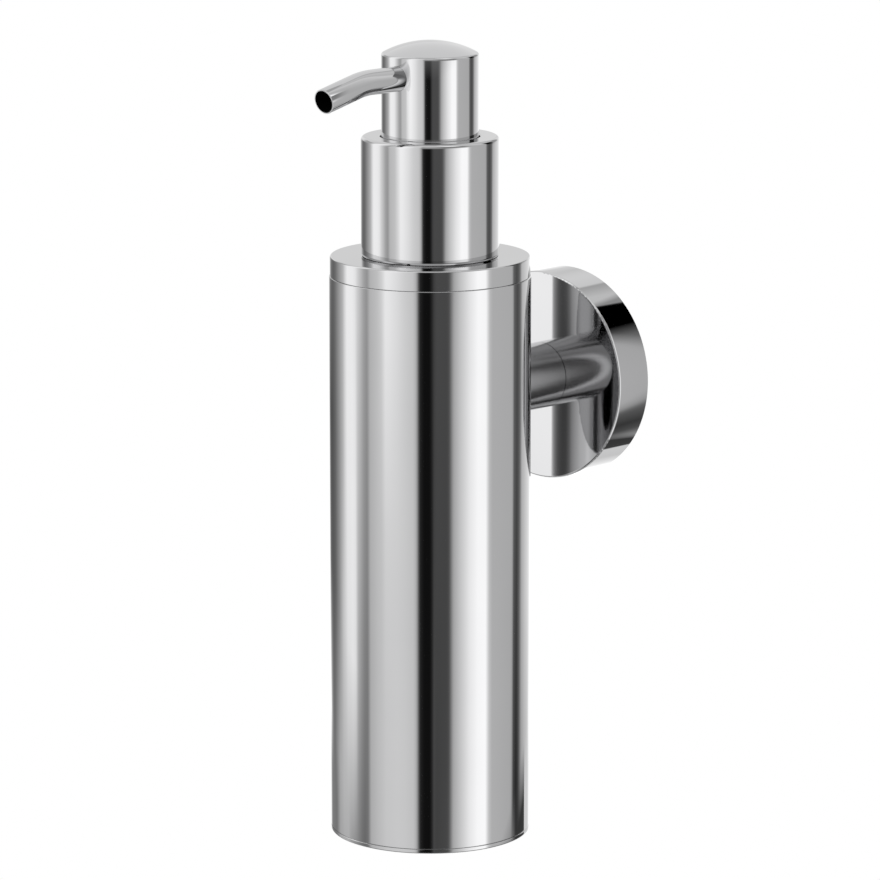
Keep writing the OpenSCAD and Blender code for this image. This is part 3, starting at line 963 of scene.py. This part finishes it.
@dataclass
class Pump(Assembly):
    """Everything of the pump that goes into the bottle."""

    wire: float = 0.9 * MM
    coil: float = 8.6 * MM
    turns: int = 8
    free_length: float = 23.0 * MM
    stroke: float = 10.0 * MM
    closed_pitch: float = 1.1
    steps: int = 28
    sides: int = 12
    crease: float = math.radians(60)

    def build(self) -> None:
        """Dresses the pump and winds its spring."""
        self.finishes = {
            "pump_barrel": Finish.WHITE,
            "stem_guide": Finish.WHITE,
            "piston": Finish.WHITE,
            "stem": Finish.WHITE,
            "stem_tip": Finish.WHITE,
            "dip_tube": Finish.NATURAL,
            "neck_gasket": Finish.RUBBER,
            "inlet_ball": Finish.GROUND,
            "outlet_ball": Finish.GROUND,
        }
        self.dress()
        spring = self.wound_spring()
        self.finish_piece(spring, "pump", "return_spring", "spring_steel", Finish.DRAWN)
        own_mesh(spring)

    def wound_spring(self) -> bpy.types.Object:
        """Winds the return spring, with one closed turn at each end.

        Returns:
            The spring.
        """
        place = place_of("return_spring")
        centre = place.centre
        closed = self.wire * self.closed_pitch
        open_turns = self.turns - 2
        open_pitch = (self.free_length - self.wire - 2 * closed) / open_turns
        bm = bmesh.new()
        first = Vector((centre.x + self.coil / 2, centre.y, place.foot + self.wire / 2))
        ring = bmesh.ops.create_circle(
            bm,
            cap_ends=True,
            segments=self.sides,
            radius=self.wire / 2,
            matrix=Matrix.Translation(first) @ Matrix.Rotation(math.pi / 2, 4, "X"),
        )["verts"]
        faces = once(f for v in ring for f in v.link_faces)
        edges = once(e for v in ring for e in v.link_edges)
        grown = faces + edges + ring
        for turns, pitch in ((1, closed), (open_turns, open_pitch), (1, closed)):
            turned = bmesh.ops.spin(
                bm,
                geom=grown,
                cent=centre,
                axis=(0, 0, 1),
                dvec=(0, 0, pitch / self.steps),
                angle=2 * math.pi * turns,
                steps=self.steps * turns,
            )
            grown = turned["geom_last"]
        return object_from(bm, "spring_wound", self.crease)


@dataclass
class Collar(Assembly):
    """Screw collar of the pump."""

    wall: float = 1.0 * MM
    top: float = 1.4 * MM
    top_edge: float = 1.1 * MM
    bore: float = 12.5 * MM
    mouth: float = 0.4 * MM
    sleeve_wall: float = 1.0 * MM
    sleeve: float = 7.0 * MM
    foot_height: float = 0.5 * MM
    foot_depth: float = 0.28 * MM
    fine: float = 0.15 * MM
    steps: int = 256

    def build(self) -> None:
        """Turns the collar and dresses its nut."""
        self.finishes = {"closure_nut": Finish.WHITE}
        self.dress()
        collar = self.turned_collar()
        self.finish_piece(collar, "collar", "collar_shell", "polished_steel", Finish.POLISHED)

    def turned_collar(self) -> bpy.types.Object:
        """Turns the collar, with the sleeve that guides the head and a tapered foot.

        Returns:
            The collar.
        """
        place = place_of("collar_shell")
        foot, top, radius = place.foot, place.top, place.radius
        sleeve_r = self.bore + self.sleeve_wall
        ceiling = top - self.top
        outline = [
            (self.bore, top, self.mouth),
            (radius, top, self.top_edge),
            (radius, foot + self.foot_height, self.fine),
            (radius - self.foot_depth, foot, 0.0),
            (radius - self.wall, foot, self.fine),
            (radius - self.wall, ceiling, 2 * self.fine),
            (sleeve_r, ceiling, 2 * self.fine),
            (sleeve_r, top - self.sleeve, self.fine),
            (self.bore, top - self.sleeve, self.fine),
        ]
        bm = bmesh.new()
        spin_outline(bm, outline, place.centre, self.steps)
        return object_from(bm, "collar_turned")


@dataclass
class Head(Assembly):
    """Turning head with its bent spout."""

    spout_radius: float = 3.15 * MM
    spout_wall: float = 0.55 * MM
    rim: float = 0.3 * MM
    spout_start: float = 5.2 * MM
    bend_start: float = 21.1 * MM
    bend_radius: float = 25.0 * MM
    bend_angle: float = math.radians(13)
    tip_length: float = 11.35 * MM
    lip: float = 0.12 * MM
    lip_segments: int = 4
    lip_angle: float = math.radians(60)
    merge: float = 0.002 * MM
    sides: int = 72
    bend_steps: int = 14

    def build(self) -> None:
        """Dresses the head and sweeps its spout."""
        self.finishes = {"head_shell": Finish.POLISHED, "head_core": Finish.WHITE}
        self.dress()
        spout = self.swept_spout()
        self.finish_piece(spout, "head", "spout_tube", "polished_steel", Finish.POLISHED)
        # second slot: near-black painted shade for the spout's bore
        spout.data.materials.append(self.shelf.take(Finish.PAINTED_BORE_SHADE))

    def swept_spout(self) -> bpy.types.Object:
        """Sweeps the thin-walled spout round its bend, with rounded lips.

        Returns:
            The spout.
        """
        spout, head = place_of("spout_tube"), place_of("head_shell")
        axis = Vector((spout.centre.x, head.centre.y, spout.top - self.spout_radius))
        bm = bmesh.new()
        self.sweep(bm, axis, self.spout_radius - self.spout_wall)
        # the inner skin takes the painted shade of the bore
        for face in bm.faces:
            face.material_index = 1
        for end in self.sweep(bm, axis, self.spout_radius):
            cap = bmesh.ops.contextual_create(bm, geom=end)["faces"]
            bmesh.ops.inset_region(bm, faces=cap, thickness=self.rim, use_boundary=True)
            inside = bmesh.ops.inset_region(
                bm, faces=cap, thickness=self.spout_wall - self.rim, use_boundary=True
            )["faces"]
            # the inner part of each lip also takes the painted shade of the bore
            for face in inside:
                face.material_index = 1
            bmesh.ops.delete(bm, geom=cap, context="FACES_ONLY")
        bmesh.ops.remove_doubles(bm, verts=bm.verts, dist=self.merge)
        bmesh.ops.recalc_face_normals(bm, faces=bm.faces)
        corners = [e for e in bm.edges if e.calc_face_angle(0.0) > self.lip_angle]
        bmesh.ops.bevel(
            bm,
            geom=corners,
            offset=self.lip,
            offset_type="OFFSET",
            affect="EDGES",
            segments=self.lip_segments,
            profile=0.5,
            material=-1,
        )
        return object_from(bm, "spout_swept")

    def sweep(
        self, bm: bmesh.types.BMesh, axis: Vector, radius: float
    ) -> tuple[list[bmesh.types.BMEdge], list[bmesh.types.BMEdge]]:
        """Sweeps a circle along the spout.

        Args:
            bm: bmesh that takes the skin.
            axis: point on the head's axis, at the spout's height.
            radius: radius of the circle.

        Returns:
            The edges of the first and the last circle.
        """
        upright = Matrix.Rotation(math.pi / 2, 4, "X")
        start = axis + Vector((0, -self.spout_start, 0))
        ring = bmesh.ops.create_circle(
            bm, segments=self.sides, radius=radius, matrix=Matrix.Translation(start) @ upright
        )["verts"]
        first = once(e for v in ring for e in v.link_edges)
        grown = bmesh.ops.extrude_edge_only(bm, edges=first)["geom"]
        run = Vector((0, self.spout_start - self.bend_start, 0))
        bmesh.ops.translate(bm, verts=verts_of(grown), vec=run)
        bend = bmesh.ops.spin(
            bm,
            geom=edges_of(grown) + verts_of(grown),
            cent=axis + Vector((0, -self.bend_start, -self.bend_radius)),
            axis=(1, 0, 0),
            angle=self.bend_angle,
            steps=self.bend_steps,
        )["geom_last"]
        grown = bmesh.ops.extrude_edge_only(bm, edges=edges_of(bend))["geom"]
        way = Vector((0, -math.cos(self.bend_angle), -math.sin(self.bend_angle)))
        bmesh.ops.translate(bm, verts=verts_of(grown), vec=way * self.tip_length)
        return first, edges_of(grown)


# --------------------------------------------------------------------- studio


def linear(tone: float) -> float:
    """Turns a tone as it shows, 0 to 1, into a linear value."""
    return tone / 12.92 if tone <= 0.04045 else ((tone + 0.055) / 1.055) ** 2.4


@dataclass(frozen=True)
class Strip:
    """Tones of the tent's wall at one azimuth.

    The azimuth is 0 towards the camera and grows to the camera's right, in
    degrees. A tone is what the polished steel shows, 0 for black and 1 for
    white. From the tent's lowest height up the tones are under, foot, low,
    mid, high, top, crown, cap and sky. Crown and cap are as top where they
    are left out, and sky is as mid.
    """

    azimuth: float
    foot: float
    low: float
    mid: float
    high: float
    top: float
    crown: float | None = None
    cap: float | None = None
    sky: float | None = None
    under: float = 0.43

    def tones(self) -> tuple[float, ...]:
        """Lists the tones at all heights.

        Returns:
            The tones, from the lowest height up.
        """
        crown = self.top if self.crown is None else self.crown
        cap = self.top if self.cap is None else self.cap
        sky = self.mid if self.sky is None else self.sky
        return self.under, self.foot, self.low, self.mid, self.high, self.top, crown, cap, sky


@dataclass
class LightTent:
    """Ring of diffuser with cards round the dispenser, seen by mirror rays only."""

    radius: float = 0.18
    setback: float = 0.09
    reflectance: float = 0.55
    floor_height: float = -0.4
    roof_height: float = 0.7
    heights: tuple[float, ...] = (-0.165, -0.148, -0.1, -0.05, 0.005, 0.072, 0.1, 0.172, 0.184)
    columns: int = 480
    strips: tuple[Strip, ...] = (
        # behind, on the left: bright diffuser that falls off to a dark seam
        Strip(-180, 0.95, 0.85, 0.82, 0.86, 0.71, 0.705, 0.73, 0.77, 0.9),
        Strip(-170, 0.91, 0.72, 0.66, 0.80, 0.72, 0.705, 0.73, 0.77, 0.8),
        Strip(-165, 0.86, 0.62, 0.57, 0.74, 0.78, 0.74, 0.74, 0.77, 0.7),
        Strip(-160, 0.785, 0.46, 0.40, 0.60, 0.75, 0.79, 0.78, 0.77, 0.6),
        Strip(-154, 0.62, 0.34, 0.29, 0.45, 0.635, 0.79, 0.78, 0.77),
        Strip(-147, 0.44, 0.32, 0.28, 0.38, 0.48, 0.79, 0.70, 0.77),
        Strip(-140.5, 0.40, 0.33, 0.32, 0.36, 0.38, 0.70, 0.6, 0.77),
        Strip(-134, 0.48, 0.37, 0.37, 0.41, 0.41, 0.6, 0.6, 0.77),
        Strip(-123, 0.64, 0.54, 0.53, 0.56, 0.53, 0.6, 0.6, 0.77, under=0.62),
        # left soft box
        Strip(-113, 0.70, 0.75, 0.69, 0.685, 0.69, under=0.66),
        Strip(-108, 0.70, 0.81, 0.82, 0.83, 0.83, under=0.66),
        Strip(-103.5, 0.70, 0.87, 0.90, 0.92, 0.93, under=0.66),
        Strip(-93.5, 0.64, 0.895, 0.915, 0.92, 0.92),
        Strip(-88.5, 0.57, 0.865, 0.895, 0.89, 0.90),
        # left grey card
        Strip(-84, 0.50, 0.66, 0.735, 0.80, 0.82),
        Strip(-79, 0.43, 0.565, 0.65, 0.72, 0.73),
        Strip(-74.5, 0.40, 0.49, 0.565, 0.625, 0.63),
        Strip(-70, 0.44, 0.465, 0.52, 0.565, 0.60),
        Strip(-65.5, 0.67, 0.67, 0.68, 0.69, 0.735),
        Strip(-56, 0.725, 0.73, 0.735, 0.745, 0.76),
        # front left diffuser
        Strip(-51, 0.745, 0.75, 0.755, 0.79, 0.88),
        Strip(-46, 0.77, 0.775, 0.81, 0.90, 0.95),
        Strip(-41.5, 0.77, 0.78, 0.81, 0.89, 0.94),
        Strip(-33, 0.78, 0.785, 0.80, 0.85, 0.88),
        Strip(-25, 0.775, 0.775, 0.78, 0.80, 0.80),
        Strip(-16.5, 0.75, 0.75, 0.75, 0.755, 0.76),
        # black and dark grey cards in front
        Strip(-13.2, 0.655, 0.66, 0.665, 0.67, 0.64, 0.56, 0.6, 0.77),
        Strip(-11.4, 0.345, 0.345, 0.35, 0.355, 0.33, 0.56, 0.6, 0.77),
        Strip(-9.8, 0.135, 0.135, 0.14, 0.145, 0.14, 0.56, 0.6, 0.77),
        Strip(-6, 0.065, 0.065, 0.06, 0.06, 0.075, 0.56, 0.6, 0.77),
        Strip(-0.5, 0.06, 0.06, 0.06, 0.06, 0.06, 0.56, 0.6, 0.77),
        Strip(1.5, 0.13, 0.13, 0.11, 0.13, 0.13, 0.56, 0.6, 0.77),
        Strip(3.5, 0.27, 0.27, 0.245, 0.23, 0.22, 0.56, 0.6, 0.77),
        Strip(6, 0.25, 0.25, 0.265, 0.275, 0.28, 0.56, 0.6, 0.77),
        Strip(16.7, 0.28, 0.265, 0.26, 0.27, 0.285, 0.56, 0.5, 0.77),
        # front right soft box, brightest at its far edge
        Strip(18.7, 0.36, 0.31, 0.305, 0.315, 0.315, 0.56, 0.45, 0.77),
        Strip(22.5, 0.64, 0.61, 0.60, 0.59, 0.49, 0.5, 0.42, 0.77),
        Strip(24.4, 0.675, 0.67, 0.66, 0.66, 0.62, 0.5, 0.42, 0.77),
        Strip(30, 0.76, 0.76, 0.76, 0.76, 0.74, 0.5, 0.42),
        Strip(40, 0.90, 0.90, 0.90, 0.89, 0.88, 0.5, 0.42),
        Strip(50, 0.97, 0.97, 0.97, 0.975, 0.975, 0.5, 0.42),
        Strip(60, 0.98, 0.985, 0.97, 0.965, 0.975, 0.5, 0.45),
        # right grey card
        Strip(65, 0.75, 0.755, 0.725, 0.72, 0.74, 0.60, 0.6),
        Strip(69, 0.68, 0.68, 0.67, 0.67, 0.67, 0.65, 0.66),
        Strip(98, 0.65, 0.65, 0.655, 0.655, 0.65, 0.66, 0.77, 0.77),
        Strip(101.5, 0.62, 0.63, 0.645, 0.645, 0.63, 0.65, 0.77, 0.77),
        Strip(103.5, 0.48, 0.53, 0.57, 0.56, 0.48, 0.62, 0.7, 0.77),
        # right dark card, black at its head
        Strip(105, 0.34, 0.36, 0.40, 0.40, 0.38, 0.3, 0.3, 0.7),
        Strip(106, 0.25, 0.30, 0.35, 0.36, 0.36, 0.0, 0.0, 0.7),
        Strip(112, 0.15, 0.22, 0.27, 0.28, 0.28, 0.0, 0.0, 0.7, 0.2),
        Strip(117, 0.25, 0.34, 0.34, 0.34, 0.34, 0.0, 0.0, 0.7, 0.2),
        # behind, on the right: diffuser
        Strip(120, 0.40, 0.46, 0.43, 0.43, 0.37, 0.0, 0.0, 0.72, 0.2),
        Strip(124, 0.56, 0.62, 0.64, 0.65, 0.58, 0.0, 0.0, 0.72, 0.2),
        Strip(125.5, 0.60, 0.655, 0.68, 0.69, 0.62, 0.5, 0.53, 0.72, 0.2),
        Strip(135, 0.68, 0.735, 0.73, 0.74, 0.735, 0.54, 0.53, 0.72, 0.22),
        Strip(136, 0.68, 0.74, 0.735, 0.745, 0.74, 0.54, 0.53, 0.72, 0.76),
        Strip(148.5, 0.73, 0.785, 0.785, 0.785, 0.785, 0.55, 0.53, 0.6, 0.72),
        Strip(150.5, 0.78, 0.80, 0.80, 0.80, 0.80, 0.75, 0.76, 0.76, 0.75),
        Strip(160, 0.87, 0.86, 0.85, 0.85, 0.83, 0.76, 0.77, 0.77, 0.83),
        Strip(168, 0.97, 0.985, 0.93, 0.89, 0.72, 0.69, 0.77, 0.77, 0.9),
        Strip(173, 0.97, 0.90, 0.85, 0.88, 0.70, 0.73, 0.78, 0.77, 0.9),
        Strip(180, 0.95, 0.85, 0.82, 0.86, 0.71, 0.705, 0.73, 0.77, 0.9),
    )

    def tones(self, azimuth: float) -> tuple[float, ...]:
        """Blends the two strips on either side of an azimuth.

        Args:
            azimuth: from -180 to 180 degrees.

        Returns:
            The tones at the tent's heights.
        """
        for one, other in zip(self.strips, self.strips[1:]):
            if azimuth <= other.azimuth:
                share = (azimuth - one.azimuth) / (other.azimuth - one.azimuth)
                return tuple(a + share * (b - a) for a, b in zip(one.tones(), other.tones()))
        return self.strips[-1].tones()

    def build(self, centre: Vector, heading: float) -> None:
        """Puts the tent and its cards up.

        Args:
            centre: a point on the axis of the tube.
            heading: azimuth of the camera, in degrees.
        """
        levels = (self.floor_height, *self.heights, self.roof_height)
        bm = bmesh.new()
        layer = bm.verts.layers.float_color.new("tone")
        middle = centre - direction(heading, 0.0) * self.setback
        foot = Matrix.Translation(Vector((middle.x, middle.y, levels[0])))
        circle = bmesh.ops.create_circle(bm, segments=self.columns, radius=self.radius, matrix=foot)
        edges = once(e for v in circle["verts"] for e in v.link_edges)
        for low, high in zip(levels, levels[1:]):
            grown = bmesh.ops.extrude_edge_only(bm, edges=edges)["geom"]
            bmesh.ops.translate(bm, verts=verts_of(grown), vec=(0, 0, high - low))
            edges = edges_of(grown)
        for vert in bm.verts:
            side = math.degrees(math.atan2(vert.co.x - centre.x, centre.y - vert.co.y))
            tones = self.tones((side - heading + 180) % 360 - 180)
            nearest = min(range(len(tones)), key=lambda i: abs(self.heights[i] - vert.co.z))
            value = linear(tones[nearest]) / self.reflectance
            vert[layer] = (value, value, value, 1.0)
        tent = object_from(bm, "light_tent")
        tent.data.materials.append(self.cloth())
        tent.visible_camera = False
        tent.visible_diffuse = False
        tent.visible_transmission = False
        tent.visible_shadow = False
        tent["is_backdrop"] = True

    def cloth(self) -> bpy.types.Material:
        """Makes the glowing cloth, which reads its tone from the mesh.

        Returns:
            The material.
        """
        shader = Shader("tent_cloth")
        tone = shader.add("ShaderNodeAttribute", attribute_name="tone")
        glow = shader.add("ShaderNodeEmission")
        shader.join(tone.outputs["Color"], glow.inputs["Color"])
        shader.join(glow.outputs["Emission"], shader.output.inputs["Surface"])
        shader.material.cycles.emission_sampling = "NONE"
        return shader.material


@dataclass(frozen=True)
class Lamp:
    """An area lamp that faces the dispenser, with its angles in degrees."""

    name: str
    azimuth: float
    elevation: float
    distance: float
    size: float
    power: float

    def hang(self, middle: Vector) -> None:
        """Hangs the lamp, which mirrors don't show.

        Args:
            middle: middle of the dispenser.
        """
        lamp = bpy.data.lights.new(self.name, "AREA")
        lamp.size = self.size
        lamp.energy = self.power
        holder = bpy.data.objects.new(self.name, lamp)
        way = direction(self.azimuth, self.elevation)
        holder.location = middle + way * self.distance
        holder.rotation_mode = "QUATERNION"
        holder.rotation_quaternion = way.to_track_quat("Z", "Y")
        holder.visible_glossy = False
        bpy.context.scene.collection.objects.link(holder)


@dataclass
class Studio:
    """White background, pale floor, lamps and camera."""

    azimuth: float = 43.12
    elevation: float = 11.68
    distance: float = 1.2254
    lens: float = 198.3
    sensor: float = 36.0
    aim_shift: Vector = field(default_factory=lambda: Vector((1.8, 1.7, -0.1)) * MM)
    floor_drop: float = 0.9
    floor_size: float = 6.0
    fade_start: float = 0.3
    fade_end: float = 1.1
    pale: float = 0.8
    floor_roughness: float = 0.9
    plain_light: float = 0.55
    mirror_light: float = 0.6
    lamps: tuple[Lamp, ...] = (
        Lamp("key_lamp", azimuth=10.0, elevation=45.0, distance=1.2, size=0.7, power=9.0),
        Lamp("fill_lamp", azimuth=110.0, elevation=20.0, distance=1.4, size=0.9, power=4.0),
    )

    def build(self, middle: Vector) -> None:
        """Sets up everything round the dispenser.

        Args:
            middle: point on the tube's axis at half the height of the dispenser.
        """
        self.set_world()
        self.lay_floor(middle)
        for lamp in self.lamps:
            lamp.hang(middle)
        self.place_camera(middle)
        LightTent().build(Vector((middle.x, middle.y, 0)), self.azimuth)

    def set_world(self) -> None:
        """Makes the world white to the camera and through clear pieces, and plain to the rest."""
        world = bpy.data.worlds.new("studio")
        bpy.context.scene.world = world
        world.use_nodes = True
        tree = world.node_tree
        tree.nodes.clear()
        output = tree.nodes.new("ShaderNodeOutputWorld")
        path = tree.nodes.new("ShaderNodeLightPath")
        seen = tree.nodes.new("ShaderNodeMath")
        seen.operation = "MAXIMUM"
        tree.links.new(path.outputs["Is Camera Ray"], seen.inputs[0])
        tree.links.new(path.outputs["Is Transmission Ray"], seen.inputs[1])
        light, mirror, white = (tree.nodes.new("ShaderNodeBackground") for _ in range(3))
        for node, strength in ((light, self.plain_light), (mirror, self.mirror_light), (white, 1.0)):
            node.inputs["Color"].default_value = (1, 1, 1, 1)
            node.inputs["Strength"].default_value = strength
        shown = tree.nodes.new("ShaderNodeMixShader")
        tree.links.new(path.outputs["Is Glossy Ray"], shown.inputs["Fac"])
        tree.links.new(light.outputs["Background"], shown.inputs[1])
        tree.links.new(mirror.outputs["Background"], shown.inputs[2])
        final = tree.nodes.new("ShaderNodeMixShader")
        tree.links.new(seen.outputs["Value"], final.inputs["Fac"])
        tree.links.new(shown.outputs["Shader"], final.inputs[1])
        tree.links.new(white.outputs["Background"], final.inputs[2])
        tree.links.new(final.outputs["Shader"], output.inputs["Surface"])

    def lay_floor(self, middle: Vector) -> None:
        """Lays the pale floor below the dispenser.

        Args:
            middle: middle of the dispenser.
        """
        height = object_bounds()[0].z - self.floor_drop
        bm = bmesh.new()
        bmesh.ops.create_grid(
            bm,
            x_segments=1,
            y_segments=1,
            size=self.floor_size / 2,
            matrix=Matrix.Translation(Vector((middle.x, middle.y, height))),
        )
        floor = object_from(bm, "floor")
        floor.data.materials.append(self.floor_paint())
        floor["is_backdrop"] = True

    def floor_paint(self) -> bpy.types.Material:
        """Makes the floor's pale paint, which turns white to the camera far from the dispenser.

        Returns:
            The material.
        """
        shader = Shader("pale_floor")
        surface = shader.principled((self.pale,) * 3, self.floor_roughness, 0.0)
        surface.inputs["Specular IOR Level"].default_value = 0.0
        path = shader.add("ShaderNodeLightPath")
        white = shader.add("ShaderNodeEmission")
        far = shader.add("ShaderNodeVectorMath", operation="LENGTH")
        fade = shader.add("ShaderNodeMapRange", interpolation_type="SMOOTHSTEP")
        fade.inputs["From Min"].default_value = self.fade_start
        fade.inputs["From Max"].default_value = self.fade_end
        shader.join(shader.place((1, 1, 0)), far.inputs[0])
        shader.join(far.outputs["Value"], fade.inputs["Value"])
        share = shader.add("ShaderNodeMath", operation="MULTIPLY")
        shader.join(fade.outputs["Result"], share.inputs[0])
        shader.join(path.outputs["Is Camera Ray"], share.inputs[1])
        mix = shader.add("ShaderNodeMixShader")
        shader.join(share.outputs["Value"], mix.inputs["Fac"])
        shader.join(surface.outputs["BSDF"], mix.inputs[1])
        shader.join(white.outputs["Emission"], mix.inputs[2])
        shader.join(mix.outputs["Shader"], shader.output.inputs["Surface"])
        return shader.material

    def place_camera(self, middle: Vector) -> None:
        """Places the camera.

        Args:
            middle: middle of the dispenser.
        """
        data = bpy.data.cameras.new("camera")
        data.lens = self.lens
        data.sensor_width = self.sensor
        camera = bpy.data.objects.new("camera", data)
        way = direction(self.azimuth, self.elevation)
        camera.location = middle + self.aim_shift + way * self.distance
        camera.rotation_mode = "QUATERNION"
        camera.rotation_quaternion = way.to_track_quat("Z", "Y")
        bpy.context.scene.collection.objects.link(camera)
        bpy.context.scene.camera = camera


def direction(azimuth: float, elevation: float) -> Vector:
    """Points from the dispenser to a place round it.

    Args:
        azimuth: 0 in front of the wall and 90 to its right, in degrees.
        elevation: above the horizon, in degrees.

    Returns:
        The unit vector.
    """
    a, e = math.radians(azimuth), math.radians(elevation)
    return Vector((math.sin(a) * math.cos(e), -math.cos(a) * math.cos(e), math.sin(e)))


# ----------------------------------------------------------------------- main


def main() -> None:
    """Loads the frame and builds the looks."""
    logging.basicConfig(level=logging.INFO, format="%(name)s: %(message)s")
    for scrap in list(bpy.data.objects):
        bpy.data.objects.remove(scrap)
    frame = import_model()
    cad_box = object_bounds()
    scene = bpy.context.scene
    scene.view_settings.view_transform = "Standard"

    tube_low, tube_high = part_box("body_tube")
    middle = (tube_low + tube_high) / 2
    middle.z = (cad_box[0].z + cad_box[1].z) / 2
    Studio().build(middle)

    shelf = Shelf()
    for assembly in (WallMount, Body, Bottle, Pump, Collar, Head):
        LOG.info("building %s", assembly.__name__)
        assembly(frame, shelf).build()


if __name__ == "__main__":
    main()
